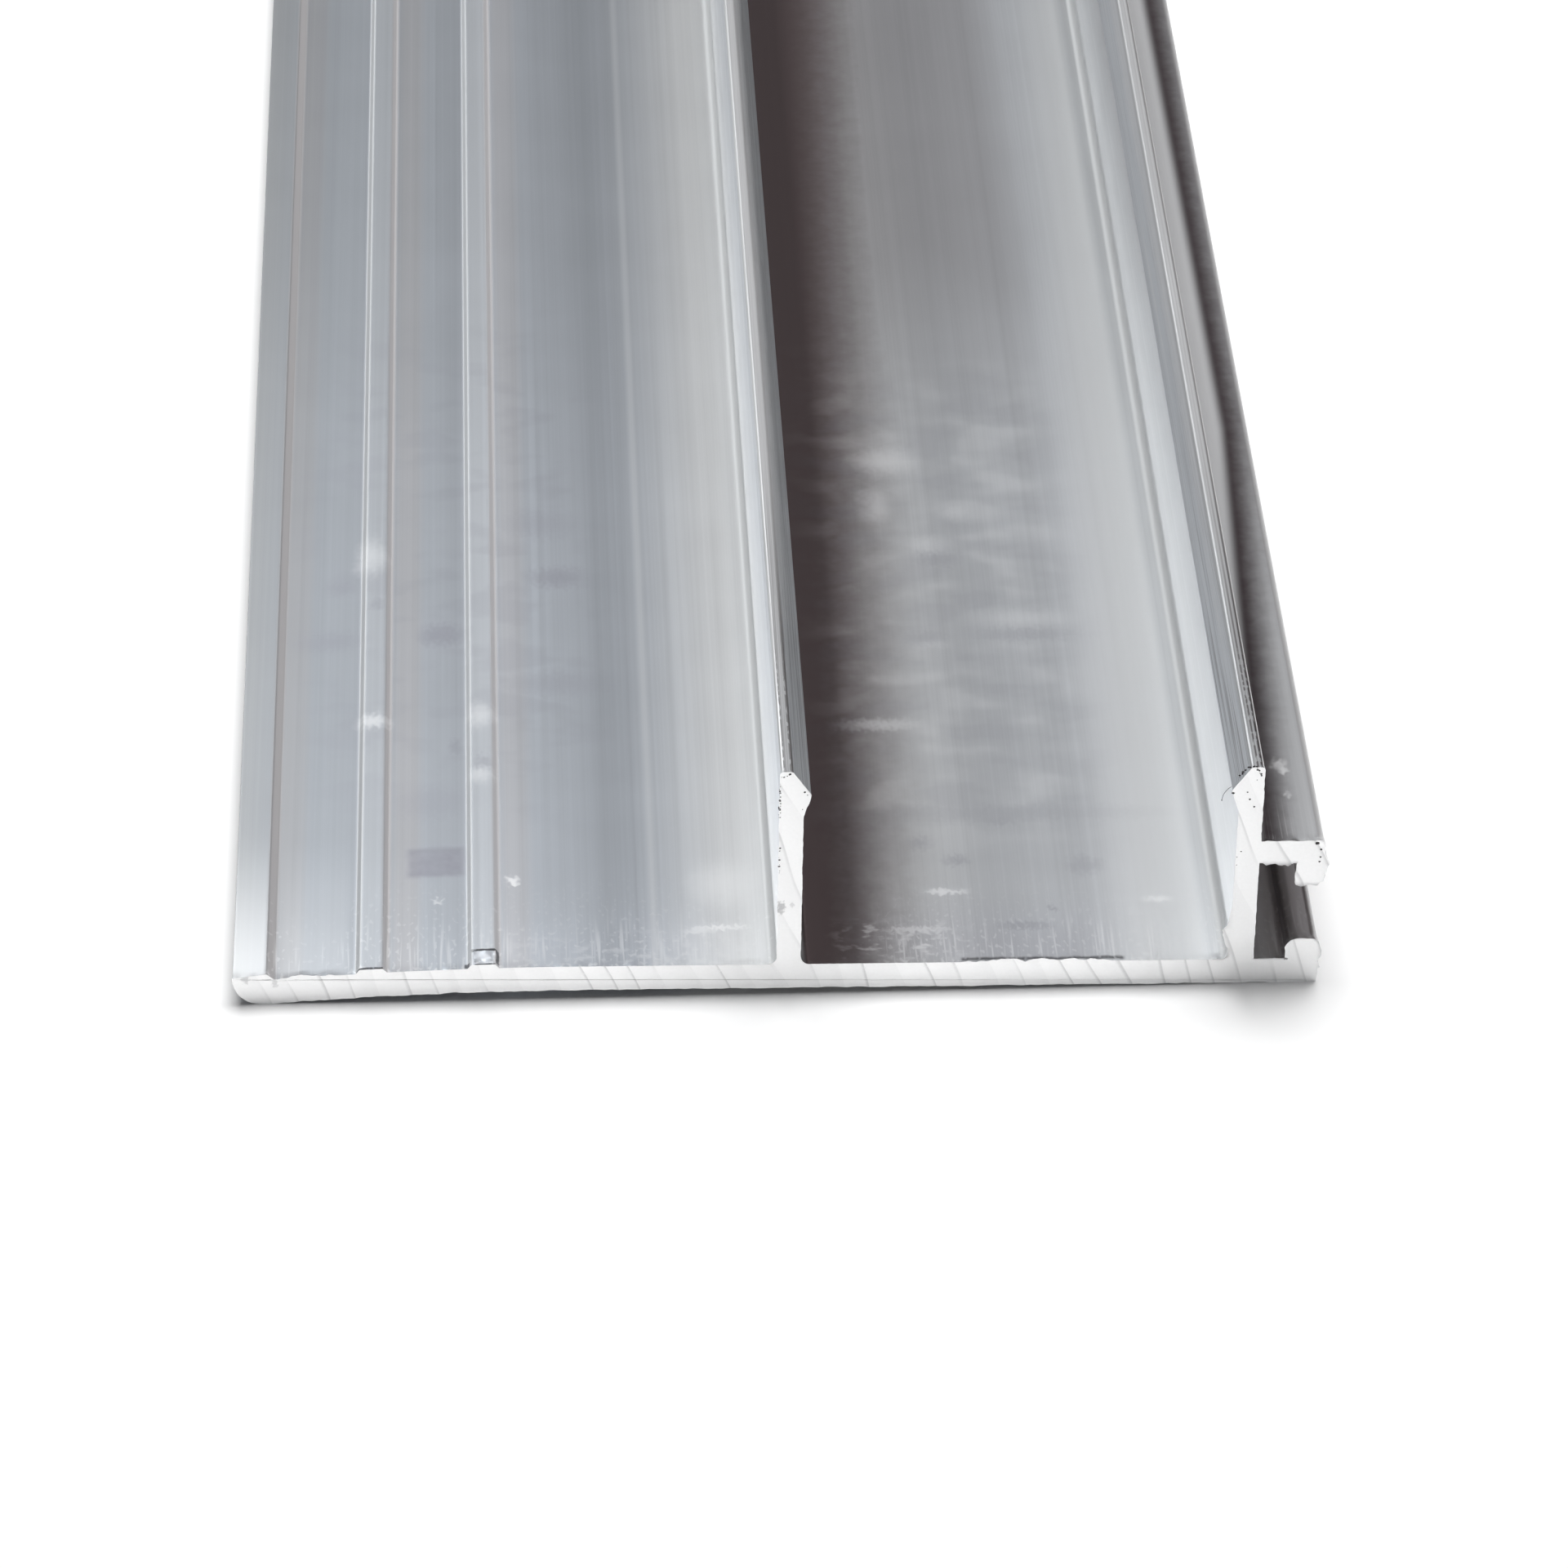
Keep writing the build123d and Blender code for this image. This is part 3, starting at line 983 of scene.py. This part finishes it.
def split_ring_edges(piece, step):
    """Cut the rings' edges at both ends into equal runs no longer than the step."""

    def ends_of(edge):
        return frozenset(v.co.to_tuple(7) for v in edge.verts)

    groups = {}
    with shaping(piece) as mesh:
        for edge in mesh.edges:
            first, second = (v.co for v in edge.verts)
            level = abs(first.y - second.y) < MERGE_DISTANCE
            in_ring = level and end_depth(first.y) < BURR_RINGS[-1] + MERGE_DISTANCE
            cuts = min(ceil(edge.calc_length() / step) - 1, MOST_CUTS)
            if in_ring and cuts > 0:
                groups.setdefault(cuts, set()).add(ends_of(edge))
    for cuts, wanted in sorted(groups.items()):
        with shaping(piece) as mesh:
            bpy.ops.mesh.select_mode(type="EDGE")
            for edge in mesh.edges:
                edge.select = ends_of(edge) in wanted
            bmesh.update_edit_mesh(piece.data)
            bpy.ops.mesh.subdivide(number_cuts=cuts)


def end_depth(y):
    """How far a place lies inside the nearer sawn end."""
    return min(y - SAWN_END, FAR_END - y)


def across_mm(place):
    return place.x / MM + BAR_WIDTH_MM / 2


def burr_weight(place):
    """Full round the groove's hook and kerb and at the outer rib's foot, finer elsewhere."""
    u = across_mm(place)
    v = place.z / MM
    ragged = any(low_u < u < high_u and low_v < v < high_v for low_u, high_u, low_v, high_v in RAGGED_ZONES)
    return 1.0 if ragged else PLAIN_BURR


def ridge_weight(vertex):
    """Above 0 where the saw pushed up a ridge of the plate's upper edge, and fading to its ends."""
    if vertex.normal.z < RIDGE_NORMAL or vertex.co.z > RIDGE_TOP:
        return 0.0
    u = across_mm(vertex.co)
    inside = max(min(u - low, high - u) for low, high in RIDGE_SPANS)
    return min(max(inside / RIDGE_FADE_MM, 0.0), 1.0)


def lump_weight(vertex):
    """Above 0 on the outer rib's foot, on the channel's side, and fading up and down."""
    beside = abs(across_mm(vertex.co) - LUMP_ACROSS_MM) < LUMP_REACH_MM
    low, high = LUMP_SPAN_MM
    share = (vertex.co.z / MM - low) / (high - low)
    faces_channel = vertex.normal.x < LUMP_NORMAL
    return sin(pi * share) if beside and faces_channel and 0 < share < 1 else 0.0


def finished_bar(mill, cut):
    """The bar's own solid with rounded die edges and burred, sawn ends."""
    node = frame["nodes"][BAR_NODE]
    bar = new_object("mill_bar", node.data.copy())
    bar.data.materials.clear()
    only(bar)
    bpy.ops.mesh.customdata_custom_splitnormals_clear()

    # Merge the loose triangles into the section's own flat faces
    with shaping(bar):
        bpy.ops.mesh.select_all(action="SELECT")
        bpy.ops.mesh.remove_doubles(threshold=MERGE_DISTANCE)
        bpy.ops.mesh.dissolve_limited(angle_limit=FLAT_ANGLE)

    # Round the long edges
    with shaping(bar) as mesh:
        bpy.ops.mesh.select_mode(type="EDGE")
        for edge in mesh.edges:
            runs_along = abs(edge.verts[0].co.y - edge.verts[1].co.y) > 0.5 * (FAR_END - SAWN_END)
            edge.select = runs_along and edge.calc_face_angle(0) > SHARP_EDGE_ANGLE
        bmesh.update_edit_mesh(bar.data)
        bpy.ops.mesh.bevel(offset=DIE_EDGE_RADIUS, segments=2, affect="EDGES", clamp_overlap=True)

    # Rings close behind both ends
    with shaping(bar):
        for depth in BURR_RINGS:
            for y in (SAWN_END + depth, FAR_END - depth):
                bpy.ops.mesh.select_all(action="SELECT")
                bpy.ops.mesh.bisect(plane_co=(0, y, 0), plane_no=(0, 1, 0))

    # The cut faces come off while the rings are divided, then go back as one flat face with a narrow rim
    with shaping(bar) as mesh:
        bpy.ops.mesh.select_mode(type="FACE")
        for face in mesh.faces:
            face.select = abs(face.normal.y) > CUT_FACE_NORMAL
        bmesh.update_edit_mesh(bar.data)
        bpy.ops.mesh.delete(type="ONLY_FACE")
    split_ring_edges(bar, BURR_STEP)
    for end in (SAWN_END, FAR_END):
        with shaping(bar) as mesh:
            bpy.ops.mesh.select_mode(type="EDGE")
            for edge in mesh.edges:
                edge.select = all(abs(v.co.y - end) < MERGE_DISTANCE for v in edge.verts)
            bmesh.update_edit_mesh(bar.data)
            bpy.ops.mesh.edge_face_add()
            bpy.ops.mesh.select_mode(type="FACE")
            bpy.ops.mesh.inset(thickness=BURR_RIM, use_even_offset=True)

    # Burr: noise pushes the rim and the rings behind it about, a ridge of the rim up and a lump sideways
    groups = {name: bar.vertex_groups.new(name=name) for name in ("burr", "ridge", "lump")}
    cut_faces = [f for f in bar.data.polygons if len(f.vertices) > CUT_FACE_POINTS]
    flat = {i for f in cut_faces for i in f.vertices}
    for vertex in bar.data.vertices:
        ring = ring_number(vertex)
        if ring is None or vertex.index in flat:
            continue
        weight = (1.0, *BURR_WEIGHTS)[ring] * burr_weight(vertex.co)
        groups["burr"].add([vertex.index], weight, "REPLACE")
        for name, weigh in (("ridge", ridge_weight), ("lump", lump_weight)):
            if ring < len(PUSH_WEIGHTS) and weigh(vertex) > 0:
                groups[name].add([vertex.index], PUSH_WEIGHTS[ring] * weigh(vertex), "REPLACE")
    for name, grain, height, least, direction in (
        ("burr", BURR_GRAIN, BURR_HEIGHT, BURR_LEAST, "NORMAL"),
        ("ridge", RIDGE_GRAIN, RIDGE_HEIGHT, PUSH_LEAST, "Z"),
        ("lump", LUMP_GRAIN, LUMP_HEIGHT, PUSH_LEAST, "X"),
    ):
        roughen(bar, name, grain, height, least, vertex_group=name, direction=direction)

    bar.data.materials.append(mill)
    bar.data.materials.append(cut)
    for face in bar.data.polygons:
        face.material_index = 1 if abs(face.normal.y) > CUT_RIM_NORMAL else 0
    smooth(bar, BAR_SMOOTHING)
    add_modifier(bar, "WEIGHTED_NORMAL", mode="FACE_AREA", weight=100, keep_sharp=True)
    return bar


def ring_number(vertex):
    """0 on a sawn end's rim, 1 and up for the rings behind it, None elsewhere."""
    for number, depth in enumerate((0.0, *BURR_RINGS)):
        if abs(end_depth(vertex.co.y) - depth) < MERGE_DISTANCE:
            return number
    return None


def folded_flake(mill):
    """A thin tab of metal that the saw folded back over the second strip, its back edge lifting off."""
    x, z = section_place(FLAKE_ACROSS_MM, FLAKE_LEVEL_MM)
    bpy.ops.object.select_all(action="DESELECT")
    bpy.ops.mesh.primitive_grid_add(
        x_subdivisions=FLAKE_SQUARES, y_subdivisions=FLAKE_SQUARES, size=FLAKE_LENGTH
    )
    flake = bpy.context.active_object
    flake.name = "folded_flake"
    with shaping(flake):
        bpy.ops.mesh.select_all(action="SELECT")
        bpy.ops.transform.resize(value=(FLAKE_WIDTH / FLAKE_LENGTH, 1.0, 1.0))
        bpy.ops.transform.translate(value=(x, SAWN_END + FLAKE_LENGTH / 2, z))
    for share in FLAKE_FOLDS:
        fold = SAWN_END + FLAKE_LENGTH * share
        with shaping(flake) as mesh:
            for vertex in mesh.verts:
                vertex.select = vertex.co.y > fold
            mesh.select_flush_mode()
            bmesh.update_edit_mesh(flake.data)
            near_fold = fold + FLAKE_FOLD_REACH * FLAKE_LENGTH
            height = max(v.co.z for v in mesh.verts if v.co.y < near_fold)
            bpy.ops.transform.rotate(value=-FLAKE_CURL, orient_axis="X", center_override=(x, fold, height))
    add_modifier(flake, "SOLIDIFY", thickness=FLAKE_THICKNESS, offset=1.0)
    roughen(flake, "flake", FLAKE_GRAIN, FLAKE_ROUGHNESS)
    flake.data.materials.append(mill)
    smooth(flake, FLAKE_SMOOTHING)
    return flake


def burr_curl(swarf):
    """A hair of metal that curls off the outer rib's barb."""
    middle = Vector((CURL_MIDDLE_MM[0] * MM, SAWN_END, CURL_MIDDLE_MM[1] * MM))
    bpy.ops.object.select_all(action="DESELECT")
    bpy.ops.mesh.primitive_circle_add(vertices=HAIR_SIDES, radius=HAIR_RADIUS, fill_type="NGON")
    curl = bpy.context.active_object
    curl.name = "burr_curl"
    with shaping(curl):
        bpy.ops.mesh.select_all(action="SELECT")
        bpy.ops.transform.translate(value=(middle.x - CURL_RADIUS, middle.y, middle.z))
        bpy.ops.mesh.spin(steps=CURL_STEPS, angle=CURL_ANGLE, center=middle, axis=(0, 1, 0))
        bpy.ops.mesh.select_all(action="SELECT")
        bpy.ops.mesh.remove_doubles(threshold=HAIR_MERGE)
        bpy.ops.mesh.normals_make_consistent(inside=False)
    curl.data.materials.append(swarf)
    smooth(curl, HAIR_SMOOTHING)
    return curl


def saw_crumbs(swarf):
    """Crumbs of dark swarf: one is modelled, then copied to its places on the cut and joined."""
    draw = Random(CRUMB_SEED)
    bpy.ops.object.select_all(action="DESELECT")
    bpy.ops.mesh.primitive_ico_sphere_add(subdivisions=2, radius=CRUMB_RADIUS)
    crumb = bpy.context.active_object
    roughen(crumb, "crumb", CRUMB_GRAIN, CRUMB_ROUGHNESS)
    places = list(LONE_CRUMBS)
    for start, end, count in CRUMB_ROWS:
        for number in range(count):
            share = (number + draw.random()) / count
            jitter = [draw.uniform(-CRUMB_SPREAD_MM, CRUMB_SPREAD_MM) for _ in range(2)]
            x, z = (a + (b - a) * share + j for a, b, j in zip(start, end, jitter))
            places.append((x, z, draw.uniform(*CRUMB_SIZE_MM)))
    copies = []
    for x, z, size in places:
        copy = new_object("saw_crumb", crumb.data.copy())
        spin = Matrix.Rotation(draw.uniform(0, 2 * pi), 4, "Z")
        tip = Matrix.Rotation(draw.uniform(0, 2 * pi), 4, "X")
        flat = Matrix.Diagonal((1.0, CRUMB_FLATNESS, draw.uniform(*CRUMB_HEIGHTS), 1.0))
        shift = Matrix.Translation((x * MM, SAWN_END, z * MM))
        copy.data.transform(shift @ flat @ spin @ tip @ Matrix.Scale(size, 4))
        copies.append(copy)
    bpy.data.objects.remove(crumb)
    only(copies[0])
    for copy in copies:
        copy.select_set(True)
    bpy.ops.object.join()
    crumbs = bpy.context.active_object
    crumbs.name = "saw_crumbs"
    crumbs.data.materials.append(swarf)
    return crumbs


def photo_camera():
    """A long lens above the sawn end, looking down along the bar."""
    data = bpy.data.cameras.new("photo_camera")
    data.sensor_width = CAMERA_SENSOR_MM
    data.lens = CAMERA_LENS_MM
    camera = new_object("photo_camera", data)
    camera.matrix_world = (
        Matrix.Translation(CAMERA_PLACE)
        @ Matrix.Rotation(-CAMERA_TURN, 4, "Z")
        @ Matrix.Rotation(pi / 2 - CAMERA_PITCH, 4, "X")
        @ Matrix.Rotation(CAMERA_ROLL, 4, "Z")
    )
    bpy.context.scene.camera = camera


def seen_rays(graph):
    """1 for rays that look at a thing directly, in a mirror or through glass; 0 for the light it gives."""
    path = [graph.node("LightPath", out=f"Is {kind} Ray") for kind in ("Camera", "Glossy", "Transmission")]
    return path[0].most(path[1]).most(path[2])


def pale_floor():
    """A wide white floor, lit by its lamp near the bar and white by itself further off."""
    bpy.ops.mesh.primitive_plane_add(size=FLOOR_SIDE)
    floor = bpy.context.active_object
    floor.name = "floor"
    material, graph = new_material("pale_floor")
    x, y, _ = graph.axes(graph.node("TexCoord", out="Object"))
    away_x = (x.size() - bar_high.x).most(0.0)
    away_y = (y.size() - bar_high.y).most(0.0)
    away = (away_x * away_x + away_y * away_y) ** 0.5
    seen = seen_rays(graph)
    white = (away / FLOOR_GLOW_REACH).least(1.0) ** FLOOR_GLOW_POWER * seen * FLOOR_GLOW
    paint = graph.node("BsdfDiffuse", None, {"Color": colour(FLOOR_TONE, FLOOR_TONE, FLOOR_TONE)})
    glow = graph.node("Emission", None, {"Color": graph.grey(white), "Strength": 1.0})
    both = graph.node("AddShader", None, {0: paint, 1: glow})
    plain = graph.node("Emission", None, {"Color": graph.grey(seen), "Strength": FLOOR_WHITE})
    mixed = graph.node("MixShader", None, {0: graph.ramp(away, *FLOOR_WHITE_FROM), 1: both, 2: plain})
    graph.end(mixed)
    material.cycles.emission_sampling = "NONE"
    floor.data.materials.append(material)


def white_room():
    """White all round, dimmer at the back, with a long soft lamp on the left and one over the floor."""
    world = bpy.data.worlds.new("white_room")
    world.use_nodes = True
    graph = Graph(world.node_tree)
    _, back, _ = graph.axes(graph.node("TexCoord", out="Generated"))
    level = ROOM_LEVEL * (1.0 - ROOM_BACK_LOSS * graph.ramp(back, *ROOM_BACK))
    level = ROOM_FILL + seen_rays(graph) * (level - ROOM_FILL)
    sky = graph.node("Background", None, {"Color": colour(*ROOM_TINT), "Strength": level})
    graph.end(sky, "OutputWorld")
    bpy.context.scene.world = world

    left = area_lamp(
        "left_lamp",
        (-LAMP_REACH * sin(LAMP_LEAN), LAMP_AHEAD, LAMP_REACH * cos(LAMP_LEAN)),
        -LAMP_LEAN,
        (LAMP_WIDTH, LAMP_LENGTH),
        LAMP_GLOW,
        LAMP_TINT,
    )
    left.visible_diffuse = False
    above = area_lamp(
        "floor_lamp",
        (FLOOR_LAMP_ACROSS, FLOOR_LAMP_AHEAD, FLOOR_LAMP_HEIGHT),
        0.0,
        (FLOOR_LAMP_SIDE, FLOOR_LAMP_SIDE),
        FLOOR_LAMP_GLOW,
        FLOOR_LAMP_TINT,
    )
    above.visible_glossy = False


def area_lamp(name, place, lean, sides, glow, tint):
    """A soft rectangular lamp whose face has this brightness."""
    data = bpy.data.lights.new(name, "AREA")
    data.shape = "RECTANGLE"
    data.size, data.size_y = sides
    data.color = tint
    data.energy = glow * pi * sides[0] * sides[1]
    lamp = new_object(name, data)
    lamp.location = place
    lamp.rotation_euler = (0.0, lean, 0.0)
    return lamp


def dark_card():
    """A dark brown card arched over the bar's right-hand side: only the metal's reflections see it."""
    bpy.ops.mesh.primitive_cylinder_add(
        vertices=CARD_SIDES,
        radius=CARD_RADIUS,
        depth=CARD_LENGTH,
        end_fill_type="NOTHING",
        rotation=(pi / 2, 0, 0),
    )
    card = bpy.context.active_object
    card.name = "dark_card"
    bpy.ops.object.transform_apply(location=True, rotation=True, scale=True)
    with shaping(card) as mesh:
        bpy.ops.mesh.select_mode(type="FACE")
        for face in mesh.faces:
            centre = face.calc_center_median()
            face.select = not CARD_EDGE < atan2(centre.x, centre.z) < CARD_END
        bmesh.update_edit_mesh(card.data)
        bpy.ops.mesh.delete(type="FACE")
    material, graph = new_material("dark_card")
    x, _, z = graph.axes(graph.node("TexCoord", out="Object"))
    lean = x.math("ARCTAN2", z)
    strip = graph.span(lean, *CARD_STRIP, CARD_STRIP_SOFT)
    tint = graph.blend(strip, colour(*CARD_TINT), colour(*CARD_STRIP_TINT))
    paint = graph.node("Emission", None, {"Color": tint, "Strength": 1.0})
    graph.end(paint)
    material.cycles.emission_sampling = "NONE"
    card.data.materials.append(material)
    card.visible_camera = False
    card.visible_diffuse = False
    card.visible_shadow = False
    card.visible_transmission = False


mill = MillFinish().material
swarf = saw_swarf()
bar = finished_bar(mill, saw_cut())
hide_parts(BAR_NODE)
for piece in (bar, folded_flake(mill), burr_curl(swarf), saw_crumbs(swarf)):
    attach(piece, "root")

photo_camera()
pale_floor()
white_room()
dark_card()
bpy.context.scene.view_settings.view_transform = "Standard"
